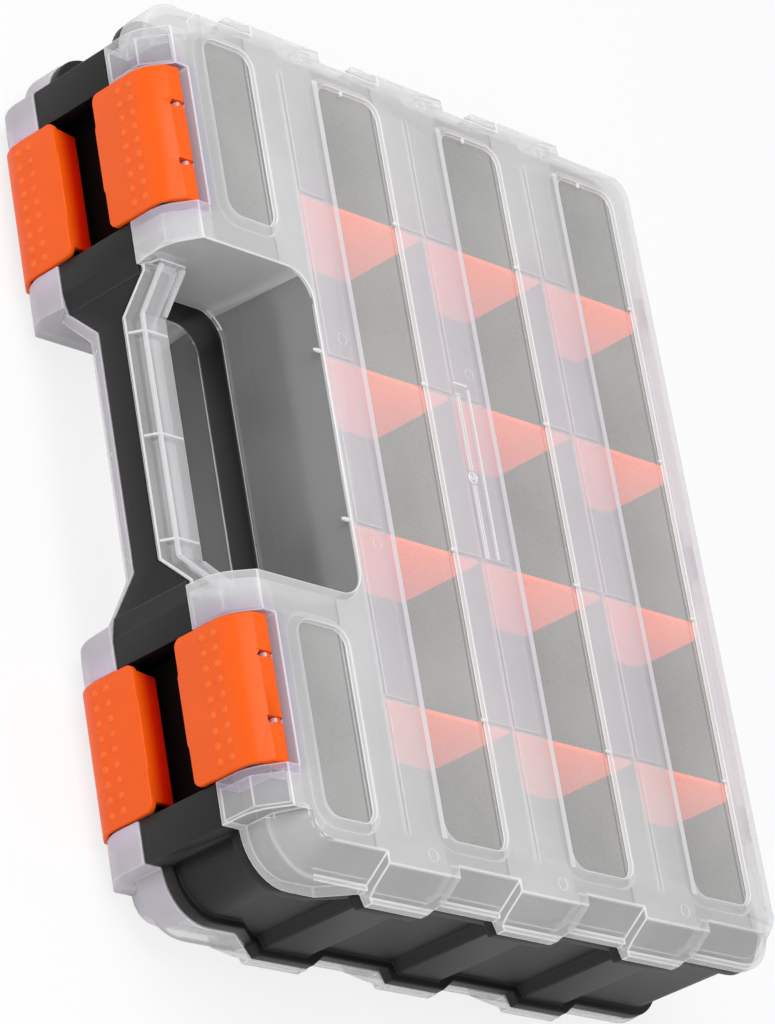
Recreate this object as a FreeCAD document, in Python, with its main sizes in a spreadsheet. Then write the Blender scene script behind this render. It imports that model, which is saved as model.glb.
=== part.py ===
import FreeCAD, Part
import os
import re
import Sketcher

# Double-sided storage box, lying on its lower lid. X runs along the length, the handle and the
# latches are at the front (-Y), the lid hinges at the rear (+Y), and Z is up from the resting face.
# Everything below the middle plane mirrors what is above it.

SIZES = {
    # Whole box
    "length": 320.0,
    "depth": 261.0,
    "height": 80.0,
    "corner_radius": 17.5,
    "rim_half": 25.0,
    "front_rim_half": 17.0,
    "handle_half": 5.3,
    "ramp_run": 12.0,
    "seat_gap": 0.3,
    "overrun": 10.0,
    # Castellated short sides: three proud blocks, one beside each column wall
    "block_step": 4.0,
    "block_length": 27.5,
    "block_front_jog": 1.5,
    "block_rear_jog": 6.0,
    "block_root": 20.0,
    # Front blocks that carry the latches
    "front_block_depth": 7.5,
    "front_block_inset": 22.0,
    "front_block_back": 30.0,
    "front_chamfer": 9.0,
    # Compartments
    "column_pitch": 62.7,
    "rear_window_inset": 29.2,
    "divider_end_gain": 2.7,
    "floor_plate": 2.0,
    "floor_corner_ease": 1.0,
    "column_wall": 2.6,
    "lid_clear": 4.0,
    "wall_end_inset": 12.6,
    "wall_end_drop": 9.0,
    # Tray walls, as insets from the rim outline of the lids
    "lip_inset": 0.4,
    "lip_height": 4.0,
    "waist_inset": 3.0,
    "tongue_inset": 4.4,
    "tongue_height": 4.0,
    "tray_rim": 6.2,
    # Dividers and the grooves that hold them
    "divider_plate": 1.6,
    "divider_groove": 0.8,
    "divider_clear": 0.2,
    "divider_corner_run": 7.0,
    "divider_corner_drop": 9.0,
    # Lid shells
    "lid_wall": 2.0,
    "flange_width": 1.8,
    "flange_height": 4.0,
    "skirt_run": 7.7,
    "window_end_inset": 22.2,
    "window_width": 30.2,
    "window_radius": 6.0,
    "window_recess": 1.5,
    "window_pane": 1.5,
    "window_frame": 3.0,
    "short_window_start": 13.4,
    "short_window_end": 21.5,
    "short_window_width": 23.1,
    "short_window_y": 27.3,
    "lid_rib": 1.6,
    "lid_rib_height": 1.5,
    # Handle and hand hole
    "recess_half": 58.6,
    "recess_side_lean": 2.6,
    "recess_setback": 4.35,
    "recess_lean": 9.5,
    "recess_radius": 10.0,
    "handle_side_wall": 2.0,
    "handle_side_gap": 2.9,
    "handle_side_height": 32.0,
    "grip_half": 43.0,
    "grip_ramp": 12.0,
    "grip_inset": 2.1,
    "grip_width": 14.4,
    "cover_height": 6.4,
    "cover_edge": 1.5,
    "cover_lean": 3.6,
    "cover_rib": 1.5,
    "cover_rib_pitch": 37.0,
    # Latches
    "latch_end_margin": 14.7,
    "latch_shift": 0.3,
    "latch_gap": 0.5,
    "latch_proud": 1.0,
    "latch_plate": 2.5,
    "latch_free_half": 9.4,
    "latch_return": 10.5,
    "latch_return_inset": 3.0,
    "latch_bend_lift": 1.0,
    "latch_shoulder_run": 5.0,
    "latch_shoulder_rise": 2.1,
    "latch_slot": 2.2,
    "latch_slot_offset": 11.0,
    "latch_slot_depth": 5.0,
    "pivot_back": 10.6,
    "pivot_drop": 4.0,
    "knuckle_radius": 2.4,
    "knuckle_clear": 0.4,
    "knuckle_rear_clear": 1.4,
    "pivot_radius": 1.6,
    "pivot_clear": 0.05,
    "pivot_rib": 1.4,
    "pivot_rib_radius": 2.4,
    "pivot_mouth": 2.6,
    "latch_pocket_depth": 8.5,
    "tray_pocket_depth": 10.5,
    "catch_depth": 2.2,
    "catch_height": 4.0,
    # Lid hinges
    "hinge_end_inset": 60.0,
    "barrel_radius": 4.0,
    "barrel_clear": 0.5,
    "hinge_setback": 1.0,
    "tray_barrel_half": 6.0,
    "lid_barrel_length": 8.0,
    "barrel_side_gap": 0.4,
    "barrel_web": 7.0,
    "pin_radius": 1.5,
    "pin_clear": 0.05,
    "pin_seat_clear": 0.02,
}

COLUMNS = ("front", "middle", "rear")
HINGE_SHARES = (-1, 0, 1)
DIVIDER_SHARES = (-1.5, -0.5, 0.5, 1.5)
SLOT_SHARES = (-1, 1)
BEND_SHARE = "0.414"

# Places and derived sizes, each worked out from the sizes above
PLACES = {
    "half_length": "length / 2",
    "mid_z": "height / 2",
    "rim_z": "mid_z + rim_half",
    "front_rim_z": "mid_z + front_rim_half",
    "handle_z": "mid_z + handle_half",
    "floor_z": "mid_z + floor_plate / 2",
    "wall_top_z": "height - lid_clear",
    "flange_z": "rim_z + flange_height",
    "side_x": "half_length - block_step",
    "front_block_end": "half_length - front_block_inset",
    "hinge_spacing": "half_length - hinge_end_inset",
    "front_y": "latch_proud - depth / 2",
    "front_rim_y": "front_y + front_block_depth",
    "hinge_y": "depth / 2 - barrel_radius",
    "rear_y": "hinge_y - hinge_setback",
    "rear_inner_y": "rear_y - tray_rim",
    "end_inner_x": "side_x - tray_rim",
    "divider_pitch": f"2 * (end_inner_x + divider_end_gain) / {len(DIVIDER_SHARES) + 1}",
    "rear_column_y": "rear_inner_y - rear_window_inset",
    "middle_column_y": "rear_column_y - column_pitch",
    "front_column_y": "middle_column_y - column_pitch",
    "rear_wall_y": "rear_column_y - column_pitch / 2",
    "middle_wall_y": "rear_wall_y - column_pitch",
    "front_wall_y": "middle_wall_y - column_pitch",
    "handle_rear_y": "front_wall_y - column_wall / 2",
    "ramp_end_y": "front_wall_y - block_length / 2",
    "ramp_start_y": "ramp_end_y - ramp_run",
    "rim_wall": "flange_width + lid_wall",
    "skirt_height": "height - flange_z",
    "plate_z": "height - lid_wall",
    "pane_z": "height - window_recess - window_pane",
    "window_length": "length - 2 * window_end_inset",
    "short_window_length": "half_length - short_window_end - recess_half - short_window_start",
    "short_window_x": "recess_half + short_window_start + short_window_length / 2",
    "recess_rear_y": "front_wall_y - recess_setback",
    "hole_rear_y": "recess_rear_y - recess_lean",
    "hole_half": "recess_half - recess_side_lean",
    "grip_front_y": "front_y + grip_inset",
    "grip_rear_y": "grip_front_y + grip_width",
    "handle_wall_x": "recess_half + handle_side_gap",
    "handle_wall_end_x": "handle_wall_x + handle_side_wall",
    "latch_length": "front_block_end - recess_half - 2 * latch_end_margin",
    "latch_centre": "(front_block_end + recess_half) / 2 - latch_shift",
    "latch_front_y": "front_y - latch_proud",
    "latch_inner_y": "latch_front_y + latch_plate",
    "latch_free_z": "mid_z + latch_free_half",
    "latch_bend_z": "height - front_chamfer + latch_bend_lift",
    "pivot_y": "front_y + pivot_back",
    "pivot_z": "height - pivot_drop",
    "pocket_y": "front_y + latch_pocket_depth",
    "pocket_floor_z": "pivot_z - knuckle_radius - knuckle_clear",
    "pocket_rear_y": "pivot_y + knuckle_radius + knuckle_rear_clear",
    "pocket_low_x": "latch_centre - latch_length / 2 - latch_gap",
    "pocket_high_x": "latch_centre + latch_length / 2 + latch_gap",
    "tray_pocket_y": "front_y + tray_pocket_depth",
}

PLANES = {
    "XY": (FreeCAD.Rotation(), FreeCAD.Vector(0, 0, 1), "z"),
    "XZ": (FreeCAD.Rotation(FreeCAD.Vector(1, 0, 0), 90), FreeCAD.Vector(0, 1, 0), "y"),
    "YZ": (FreeCAD.Rotation(FreeCAD.Vector(1, 1, 1), 120), FreeCAD.Vector(1, 0, 0), "x"),
}

doc = FreeCAD.newDocument("StorageBox")
sheet = doc.addObject("Spreadsheet::Sheet", "Sizes")
for row, (alias, number) in enumerate(SIZES.items(), start=1):
    sheet.set(f"A{row}", alias)
    sheet.set(f"B{row}", str(number))
    sheet.setAlias(f"B{row}", alias)
doc.recompute()


# Expressions

def bind(text):
    """Write an expression of sizes and places in terms of the sheet's cells."""
    def swap(match):
        word = match.group()
        if word in PLACES:
            return f"({bind(PLACES[word])})"
        return f"Sizes.{word}" if word in SIZES else word
    return re.sub(r"[a-z_]+", swap, text)


def value(text):
    """The number that an expression of sizes and places gives now."""
    return float(sheet.evalExpression(bind(text)))


# Sketches

def start_sketch(name, plane, level):
    sketch = doc.addObject("Sketcher::SketchObject", name)
    rotation, _, axis = PLANES[plane]
    sketch.Placement = FreeCAD.Placement(FreeCAD.Vector(), rotation)
    sketch.setExpression(f"Placement.Base.{axis}", bind(level))
    return sketch


def pin_point(sketch, line, end, place):
    """Tie one end of a line to its place, measured from the sketch's origin."""
    for kind, text in zip(("DistanceX", "DistanceY"), place):
        rule = Sketcher.Constraint(kind, -1, 1, line, end, value(text))
        sketch.setExpression(f"Constraints[{sketch.addConstraint(rule)}]", bind(text))


def vector(place):
    return FreeCAD.Vector(value(place[0]), value(place[1]), 0)


def polygon(name, plane, points, level):
    sketch = start_sketch(name, plane, level)
    count = len(points)
    for start, end in zip(points, points[1:] + points[:1]):
        sketch.addGeometry(Part.LineSegment(vector(start), vector(end)))
    for line, start in enumerate(points):
        sketch.addConstraint(Sketcher.Constraint("Coincident", line, 2, (line + 1) % count, 1))
        pin_point(sketch, line, 1, start)
    return sketch


def rounded(name, x, y, radius, level):
    """A rectangle with round corners, level in Z."""
    (x_low, x_high), (y_low, y_high) = x, y
    sketch = start_sketch(name, "XY", level)
    inner_x = (f"{x_low} + {radius}", f"{x_high} - ({radius})")
    inner_y = (f"{y_low} + {radius}", f"{y_high} - ({radius})")
    sides = (
        ((inner_x[0], y_low), (inner_x[1], y_low)),
        ((x_high, inner_y[0]), (x_high, inner_y[1])),
        ((inner_x[1], y_high), (inner_x[0], y_high)),
        ((x_low, inner_y[1]), (x_low, inner_y[0])),
    )
    centres = ((1, 0), (1, 1), (0, 1), (0, 0))
    up = FreeCAD.Vector(0, 0, 1)
    for turn, (side, centre) in enumerate(zip(sides, centres)):
        sketch.addGeometry(Part.LineSegment(vector(side[0]), vector(side[1])))
        circle = Part.Circle(vector((inner_x[centre[0]], inner_y[centre[1]])), up, value(radius))
        start, end = (circle.parameter(vector(point)) for point in (side[1], sides[(turn + 1) % 4][0]))
        sketch.addGeometry(Part.ArcOfCircle(circle, start, end))
    for turn, side in enumerate(sides):
        line = 2 * turn
        pin_point(sketch, line, 1, side[0])
        pin_point(sketch, line, 2, side[1])
        sketch.addConstraint(Sketcher.Constraint("Tangent", line, 2, line + 1, 1))
        sketch.addConstraint(Sketcher.Constraint("Coincident", line + 1, 2, (line + 2) % 8, 1))
    return sketch


def outline(name, inset, level):
    """The rim outline of the box without its blocks, drawn in by an inset."""
    x = (f"{inset} - (side_x)", f"side_x - ({inset})")
    y = (f"front_rim_y + {inset}", f"rear_y - ({inset})")
    return rounded(name, x, y, f"corner_radius - ({inset})", level)


# Solids

def extrude(name, sketch, plane, length):
    solid = doc.addObject("Part::Extrusion", name)
    solid.Base = sketch
    solid.DirMode = "Custom"
    solid.Dir = PLANES[plane][1]
    solid.Solid = True
    solid.setExpression("LengthFwd", bind(length))
    return solid


def prism(name, plane, points, low, high):
    sketch = polygon(f"{name}_sketch", plane, points, low)
    return extrude(name, sketch, plane, f"{high} - ({low})")


def pad_outline(name, inset, low, high):
    return extrude(name, outline(f"{name}_sketch", inset, low), "XY", f"{high} - ({low})")


def pad_rounded(name, x, y, radius, low, high):
    return extrude(name, rounded(f"{name}_sketch", x, y, radius, low), "XY", f"{high} - ({low})")


def loft(name, lower, upper):
    solid = doc.addObject("Part::Loft", name)
    solid.Sections = [lower, upper]
    solid.Solid = True
    solid.Ruled = True
    return solid


def cap(name, low, low_inset, high, high_inset):
    """A hood with sloping sides between two insets of the rim outline."""
    return loft(name, outline(f"{name}_low", low_inset, low), outline(f"{name}_high", high_inset, high))


def box(name, x, y, z):
    solid = doc.addObject("Part::Box", name)
    for axis, size, (low, high) in zip("xyz", ("Length", "Width", "Height"), (x, y, z)):
        solid.setExpression(size, bind(f"{high} - ({low})"))
        solid.setExpression(f"Placement.Base.{axis}", bind(low))
    return solid


def rod(name, x, y, z, radius):
    """A cylinder along X."""
    solid = doc.addObject("Part::Cylinder", name)
    solid.Placement = FreeCAD.Placement(FreeCAD.Vector(), FreeCAD.Rotation(FreeCAD.Vector(0, 1, 0), 90))
    solid.setExpression("Radius", bind(radius))
    solid.setExpression("Height", bind(f"{x[1]} - ({x[0]})"))
    for axis, place in zip("xyz", (x[0], y, z)):
        solid.setExpression(f"Placement.Base.{axis}", bind(place))
    return solid


def fuse(name, solids):
    whole = doc.addObject("Part::MultiFuse", name)
    whole.Shapes = solids
    return whole


def cut(name, base, tools):
    result = doc.addObject("Part::Cut", name)
    result.Base = base
    result.Tool = tools[0] if len(tools) == 1 else fuse(f"{name}_tools", tools)
    return result


def common(name, first, second):
    result = doc.addObject("Part::Common", name)
    result.Base = first
    result.Tool = second
    return result


def mirror(name, source, axis):
    """The mirror image across the middle plane (axis z) or across the plane x = 0 (axis x)."""
    image = doc.addObject("Part::Mirroring", name)
    image.Source = source
    image.Normal = FreeCAD.Vector(axis == "x", 0, axis == "z")
    if axis == "z":
        image.setExpression("Base.z", bind("mid_z"))
    return image


def both_ends(name, solid):
    """A solid and its image at the other end of the box."""
    return [solid, mirror(f"{name}_image", solid, "x")]


def both_faces(name, solid):
    """A solid and its image on the other face of the box."""
    return [solid, mirror(f"{name}_image", solid, "z")]


# Shapes that the tray and the lids share

FULL_X = ("-half_length", "half_length")
FRONT_Y = "front_y - overrun"
REAR_Y = "depth / 2"


def rim_line(rise):
    """The rim in side view, lower along the front, raised by an amount."""
    return [
        (FRONT_Y, f"front_rim_z + {rise}"),
        ("ramp_start_y", f"front_rim_z + {rise}"),
        ("ramp_end_y", f"rim_z + {rise}"),
        (REAR_Y, f"rim_z + {rise}"),
    ]


def rim_band(name, low_rise, high_rise):
    """A band of the side view that follows the rim between two rises."""
    return prism(name, "YZ", rim_line(low_rise) + rim_line(high_rise)[::-1], *FULL_X)


def block_feet(name, inset, low, high):
    """Plan of the three proud blocks on the +X side, as upright prisms drawn in by an inset."""
    outer_x = f"half_length - ({inset})"
    foot_x = f"side_x - ({inset})"
    root_x = "side_x - block_root"
    feet = []
    for column in COLUMNS:
        start_y = f"{column}_wall_y - block_length / 2 + {inset}"
        end_y = f"{column}_wall_y + block_length / 2 - ({inset})"
        points = [
            (root_x, start_y),
            (foot_x, start_y),
            (outer_x, f"{start_y} + block_front_jog"),
            (outer_x, end_y),
            (foot_x, f"{end_y} + block_rear_jog"),
            (root_x, f"{end_y} + block_rear_jog"),
        ]
        feet.append(prism(f"{name}_{column}", "XY", points, low, high))
    return feet


def pivot_rod(name, x, radius):
    return rod(name, x, "pivot_y", "pivot_z", radius)


def hinge_rod(name, station, x, radius):
    """A cylinder on the upper lid's hinge axis, placed from the middle of its station."""
    centre = f"{station} * hinge_spacing"
    return rod(name, (f"{centre} + {x[0]}", f"{centre} + {x[1]}"), "hinge_y", "rim_z", radius)


LID_BARREL_X = ("tray_barrel_half + barrel_side_gap", "tray_barrel_half + barrel_side_gap + lid_barrel_length")
TRAY_BARREL_X = ("-tray_barrel_half", "tray_barrel_half")
LATCH_X = ("latch_centre - latch_length / 2", "latch_centre + latch_length / 2")


# Tray

def tray_walls():
    """Castellated outer wall with a lip along both rims, and the blocks at the front."""
    waist = fuse("waist_outline", [
        pad_outline("waist_ring", "waist_inset", "0", "height"),
        *[solid for foot in block_feet("waist_block", "waist_inset", "0", "height")
          for solid in both_ends(foot.Name, foot)],
    ])
    lip = fuse("lip_outline", [
        pad_outline("lip_ring", "lip_inset", "0", "height"),
        *[solid for foot in block_feet("lip_block", "lip_inset", "0", "height")
          for solid in both_ends(foot.Name, foot)],
    ])
    upper_half = rim_band("tray_upper_half", "(mid_z - rim_z - overrun)", "0")
    lip_band = rim_band("lip_band", "(-lip_height)", "0")
    tongue_band = rim_band("tongue_band", "(-lip_height)", "tongue_height")
    tongue_ring = cut("tongue_ring", pad_outline("tongue_outer", "tongue_inset", "mid_z", "height"),
                      [pad_outline("tongue_inner", "tray_rim", "mid_z", "height")])
    front_block = box("tray_front_block", ("recess_half", "front_block_end"),
                      ("front_y + lip_inset", "front_y + front_block_back"),
                      ("mid_z - front_rim_half", "front_rim_z"))
    upper = fuse("tray_upper_walls", [
        common("waist_upper", waist, upper_half),
        common("lip_upper", lip, lip_band),
        common("tongue", tongue_ring, tongue_band),
    ])
    above_mid = box("tray_above_mid", FULL_X, (f"-({REAR_Y})", REAR_Y), ("mid_z", "height"))
    return [*both_faces("tray_shell", common("tray_shell", upper, above_mid)),
            *both_ends("tray_front_block", front_block)]


def column_prisms():
    """Walls between the columns, cut back at their ends under the sloping skirts."""
    points = [
        ("-(end_inner_x)", "wall_top_z - wall_end_drop"),
        ("-half_length + wall_end_inset + block_step", "wall_top_z"),
        ("half_length - wall_end_inset - block_step", "wall_top_z"),
        ("end_inner_x", "wall_top_z - wall_end_drop"),
        ("end_inner_x", "height - wall_top_z + wall_end_drop"),
        ("half_length - wall_end_inset - block_step", "height - wall_top_z"),
        ("-half_length + wall_end_inset + block_step", "height - wall_top_z"),
        ("-(end_inner_x)", "height - wall_top_z + wall_end_drop"),
    ]
    return [prism(f"{column}_wall", "XZ", points, f"{column}_wall_y - column_wall / 2",
                  f"{column}_wall_y + column_wall / 2") for column in COLUMNS]


def tray_handle():
    """Handle bar, the plate round the hand hole and the walls beside it."""
    ramp_x = "grip_half + grip_ramp"
    upper = [
        ("handle_wall_x", "front_rim_z"),
        (ramp_x, "front_rim_z"),
        ("grip_half", "handle_z"),
        ("-grip_half", "handle_z"),
        (f"-({ramp_x})", "front_rim_z"),
        ("-(handle_wall_x)", "front_rim_z"),
    ]
    lower = [(x, f"height - ({z})") for x, z in upper[::-1]]
    bar = prism("handle_bar", "XZ", upper + lower, "grip_front_y", "grip_rear_y")
    plate = box("handle_plate", ("-(handle_wall_end_x)", "handle_wall_end_x"), ("grip_rear_y", "handle_rear_y"),
                ("mid_z - handle_half", "handle_z"))
    side = box("handle_side_wall", ("handle_wall_x", "handle_wall_end_x"), ("tray_pocket_y", "handle_rear_y"),
               ("mid_z - handle_side_height", "mid_z + handle_side_height"))
    return [bar, plate, *both_ends("handle_side_wall", side)]


def hand_hole():
    return pad_rounded("hand_hole", ("-(hole_half)", "hole_half"), ("grip_rear_y", "hole_rear_y"),
                       "recess_radius", "0", "height")


def divider_x(step, margin):
    reach = f"divider_plate / 2 + {margin}"
    return f"{step} * divider_pitch - ({reach})", f"{step} * divider_pitch + {reach}"


def column_y(column, margin):
    """Inside of a column in Y, widened into its grooves by a margin."""
    low = f"{column}_wall_y + column_wall / 2 - ({margin})"
    if column == "rear":
        return low, f"rear_inner_y + {margin}"
    behind = COLUMNS[COLUMNS.index(column) + 1]
    return low, f"{behind}_wall_y - column_wall / 2 + {margin}"


def divider_grooves():
    grooves = [box(f"groove_{column}_{place}", divider_x(step, "divider_clear"),
                   column_y(column, "divider_groove"), ("floor_z", "wall_top_z + overrun"))
               for column in COLUMNS for place, step in enumerate(DIVIDER_SHARES, start=1)]
    return both_faces("grooves", fuse("grooves", grooves))


def tray_hinges():
    """Barrels on the rear rim, and the room that the barrels of the lid need in the lip."""
    barrels, rooms, bores = [], [], []
    for place, station in enumerate(HINGE_SHARES, start=1):
        centre = f"{station} * hinge_spacing"
        barrels.append(hinge_rod(f"tray_barrel_{place}", station, TRAY_BARREL_X, "barrel_radius"))
        web_x = (f"{centre} - tray_barrel_half", f"{centre} + tray_barrel_half")
        barrels.append(box(f"tray_web_{place}", web_x, ("hinge_y - barrel_web", "hinge_y"),
                           ("rim_z - barrel_radius", "rim_z")))
        room_x = ("tray_barrel_half", f"{LID_BARREL_X[1]} + barrel_side_gap")
        rooms.append(hinge_rod(f"tray_room_right_{place}", station, room_x, "barrel_radius + barrel_clear"))
        left_x = (f"-({room_x[1]})", f"-({room_x[0]})")
        rooms.append(hinge_rod(f"tray_room_left_{place}", station, left_x, "barrel_radius + barrel_clear"))
        bores.append(hinge_rod(f"tray_bore_{place}", station, TRAY_BARREL_X, "pin_radius + pin_seat_clear"))
    return [solid for group, solids in (("barrels", barrels), ("rooms", rooms), ("bores", bores))
            for solid in both_faces(f"tray_{group}", fuse(f"tray_{group}", solids))]


def make_floors(walls):
    """Floor plates of the compartments, let in between the tray's walls and the column walls."""
    sketch = rounded("floor_sketch", ("-(end_inner_x)", "end_inner_x"), ("front_rim_y + tray_rim", "rear_inner_y"),
                     "corner_radius - tray_rim + floor_corner_ease", "mid_z - floor_plate / 2")
    handle_place = box("floor_handle_place", ("-(handle_wall_end_x)", "handle_wall_end_x"), (FRONT_Y, "front_wall_y"),
                       ("0", "height"))
    return cut("compartment_floors", extrude("floor_plate_solid", sketch, "XY", "floor_plate"), [*walls, handle_place])


def make_tray(grooves):
    barrels, barrels_low, rooms, rooms_low, bores, bores_low = tray_hinges()
    inside = pad_outline("tray_inside", "tray_rim", "0", "height")
    handle_room = box("handle_room", ("-(handle_wall_x)", "handle_wall_x"), (FRONT_Y, "handle_rear_y"),
                      ("0", "height"))
    pocket = box("tray_latch_pocket", ("pocket_low_x", "pocket_high_x"), (FRONT_Y, "tray_pocket_y"),
                 ("0", "height"))
    catch = box("catch", ("pocket_low_x", "pocket_high_x"), ("tray_pocket_y - catch_depth", "tray_pocket_y"),
                ("front_rim_z - catch_height", "front_rim_z"))
    catches = fuse("catches", both_ends("catch", catch))
    hollow = cut("tray_hollow", fuse("tray_walls", tray_walls()), [
        inside,
        handle_room,
        *both_ends("tray_latch_pocket", pocket),
        rooms,
        rooms_low,
    ])
    filled = fuse("tray_filled", [
        hollow,
        *tray_handle(),
        *both_faces("catches", catches),
        barrels,
        barrels_low,
    ])
    return cut("tray", filled, [hand_hole(), *grooves, bores, bores_low])


# Lids

def lid_block_profile(name, inset, low, top):
    """End view of the proud blocks under their sloping skirt, as a bar along the +X side."""
    root_x = "side_x - block_root"
    slope = f"skirt_run * ({top} - (flange_z)) / (skirt_height)"
    points = [
        (root_x, low),
        (f"half_length - ({inset})", low),
        (f"half_length - ({inset})", "flange_z"),
        (f"half_length - ({inset}) - ({slope})", top),
        (root_x, top),
    ]
    return prism(name, "XZ", points, "ramp_end_y - overrun", REAR_Y)


def lid_outer():
    low = "rim_z"
    blocks = common("lid_blocks", fuse("lid_block_feet", block_feet("lid_block", "0", low, "height")),
                    fuse("lid_block_ends", [
                        lid_block_profile("lid_block_slope", "flange_width", low, "height"),
                        box("lid_block_rim", ("side_x - block_root", "half_length"), ("ramp_end_y - overrun", REAR_Y),
                            (low, "flange_z")),
                    ]))
    whole = fuse("lid_outer_whole", [
        pad_outline("lid_flange", "0", "mid_z", "flange_z"),
        cap("lid_skirt", "flange_z", "flange_width", "height", "flange_width + skirt_run"),
        *both_ends("lid_blocks", blocks),
        *both_ends("lid_front_block", lid_front_block("lid_front_block", "0", "mid_z")),
    ])
    return common("lid_outer", whole, rim_band("lid_above_rim", "seat_gap", "height"))


def front_profile(inset, low):
    """Side view of the front: upright face, chamfer and top plate, drawn in by an inset."""
    face_y = f"front_y + {inset}"
    top_z = f"height - ({inset})"
    chamfer = f"front_chamfer - {BEND_SHARE} * ({inset})"
    return [
        (face_y, low),
        (face_y, f"{top_z} - ({chamfer})"),
        (f"{face_y} + {chamfer}", top_z),
        ("front_y + front_block_back", top_z),
        ("front_y + front_block_back", low),
    ]


def lid_front_block(name, inset, low):
    return prism(name, "YZ", front_profile(inset, low), "recess_half", f"front_block_end - ({inset})")


def lid_inner():
    """The hollow of the lid, before the walls of the hand recess are left standing in it."""
    slope = "skirt_run * (skirt_height - lid_wall) / (skirt_height)"
    blocks = common("inner_blocks", fuse("inner_block_feet", block_feet("inner_block", "lid_wall", "mid_z", "plate_z")),
                    lid_block_profile("inner_block_slope", "rim_wall", "mid_z", "plate_z"))
    return fuse("lid_inner", [
        pad_outline("inner_rim", "rim_wall", "mid_z", "flange_z"),
        cap("inner_skirt", "flange_z", "rim_wall", "plate_z", f"rim_wall + {slope}"),
        *both_ends("inner_blocks", blocks),
        *both_ends("inner_front_block", lid_front_block("inner_front_block", "lid_wall", "mid_z")),
    ])


def recess(name, wall, low):
    """The hand recess: a well that narrows towards the hand hole, open at the front."""
    wells = []
    for end, half, rear, level in (("low", "hole_half", "hole_rear_y", low),
                                   ("high", "recess_half", "recess_rear_y", "height")):
        x = (f"-({half}) - {wall}", f"{half} + {wall}")
        y = ("front_y - 2 * overrun", f"{rear} + {wall}")
        wells.append(rounded(f"{name}_{end}", x, y, f"recess_radius + {wall}", level))
    return loft(name, *wells)


def grip_line(rise):
    """The top of the handle bar in front view, raised by an amount."""
    return [
        ("-recess_half - lid_wall", f"front_rim_z + {rise}"),
        ("-(grip_half + grip_ramp)", f"front_rim_z + {rise}"),
        ("-grip_half", f"handle_z + {rise}"),
        ("grip_half", f"handle_z + {rise}"),
        ("grip_half + grip_ramp", f"front_rim_z + {rise}"),
        ("recess_half + lid_wall", f"front_rim_z + {rise}"),
    ]


def handle_cover():
    """Hollow cover with a leaning front over the handle bar, and the ribs inside it."""
    bottom = grip_line("seat_gap")
    section = bottom + grip_line("cover_height")[::-1]
    edge = bottom + grip_line("cover_edge")[::-1]
    lean_y = "grip_front_y + cover_lean"
    front = loft("cover_front", polygon("cover_edge_sketch", "XZ", edge, "grip_front_y"),
                 polygon("cover_section_sketch", "XZ", section, lean_y))
    shell = fuse("cover_shell", [front, prism("cover_rear", "XZ", section, lean_y, "grip_rear_y")])
    hollow = prism("cover_hollow", "XZ", grip_line("0") + grip_line("(cover_height - lid_wall)")[::-1],
                   f"{lean_y} + lid_wall / 2", "grip_rear_y - lid_wall")
    inside_y = (lean_y, "grip_rear_y")
    rib_z = ("handle_z + seat_gap", "handle_z + cover_height")
    middle = "(grip_front_y + grip_width / 2)"
    ribs = [box("cover_long_rib", ("-grip_half", "grip_half"),
                (f"{middle} - cover_rib / 2", f"{middle} + cover_rib / 2"), rib_z)]
    for place, step in enumerate(HINGE_SHARES, start=1):
        x = (f"{step} * cover_rib_pitch - cover_rib / 2", f"{step} * cover_rib_pitch + cover_rib / 2")
        ribs.append(box(f"cover_rib_{place}", x, inside_y, rib_z))
    return [cut("cover", shell, [hollow]), *ribs]


def latch_housing():
    """Walls of the latch pocket at the +X end, and the two ribs that hold the latch's pivot."""
    inside = [
        (FRONT_Y, "front_rim_z + seat_gap"),
        ("pocket_y + lid_wall", "front_rim_z + seat_gap"),
        ("pocket_y + lid_wall", "pocket_floor_z - lid_wall"),
        ("pocket_rear_y + lid_wall", "pocket_floor_z - lid_wall"),
        ("pocket_rear_y + lid_wall", "height"),
        (FRONT_Y, "height"),
    ]
    solid = prism("housing_solid", "YZ", inside, "pocket_low_x - lid_wall", "pocket_high_x + lid_wall")
    return common("housing", solid, lid_front_block("housing_limit", "0", "mid_z"))


def latch_pocket():
    points = [
        (FRONT_Y, "mid_z"),
        ("pocket_y", "mid_z"),
        ("pocket_y", "pocket_floor_z"),
        ("pocket_rear_y", "pocket_floor_z"),
        ("pocket_rear_y", "height + overrun"),
        (FRONT_Y, "height + overrun"),
    ]
    return prism("lid_latch_pocket", "YZ", points, "pocket_low_x", "pocket_high_x")


def slot_x(side, width):
    centre = f"latch_centre + {side} * latch_slot_offset"
    return f"{centre} - {width} / 2", f"{centre} + {width} / 2"


def pivot_ribs():
    """Ribs with an open mouth, into which the latch's pivot snaps."""
    ribs, mouths = [], []
    for name, side in zip(("inner", "outer"), SLOT_SHARES):
        x = slot_x(side, "pivot_rib")
        ribs.append(pivot_rod(f"pivot_head_{name}", x, "pivot_rib_radius"))
        ribs.append(box(f"pivot_post_{name}", x, ("pivot_y - pivot_rib_radius", "pivot_y + pivot_rib_radius"),
                        ("pocket_floor_z - lid_wall", "pivot_z")))
        mouths.append(pivot_rod(f"pivot_bore_{name}", x, "pivot_radius + pivot_clear"))
        mouths.append(box(f"pivot_mouth_{name}", x, ("pivot_y - pivot_mouth / 2", "pivot_y + pivot_mouth / 2"),
                          ("pivot_z", "pivot_z + overrun")))
    return cut("pivot_ribs", fuse("pivot_rib_solids", ribs), mouths)


WINDOW_X = ("-window_length / 2", "window_length / 2")


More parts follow.
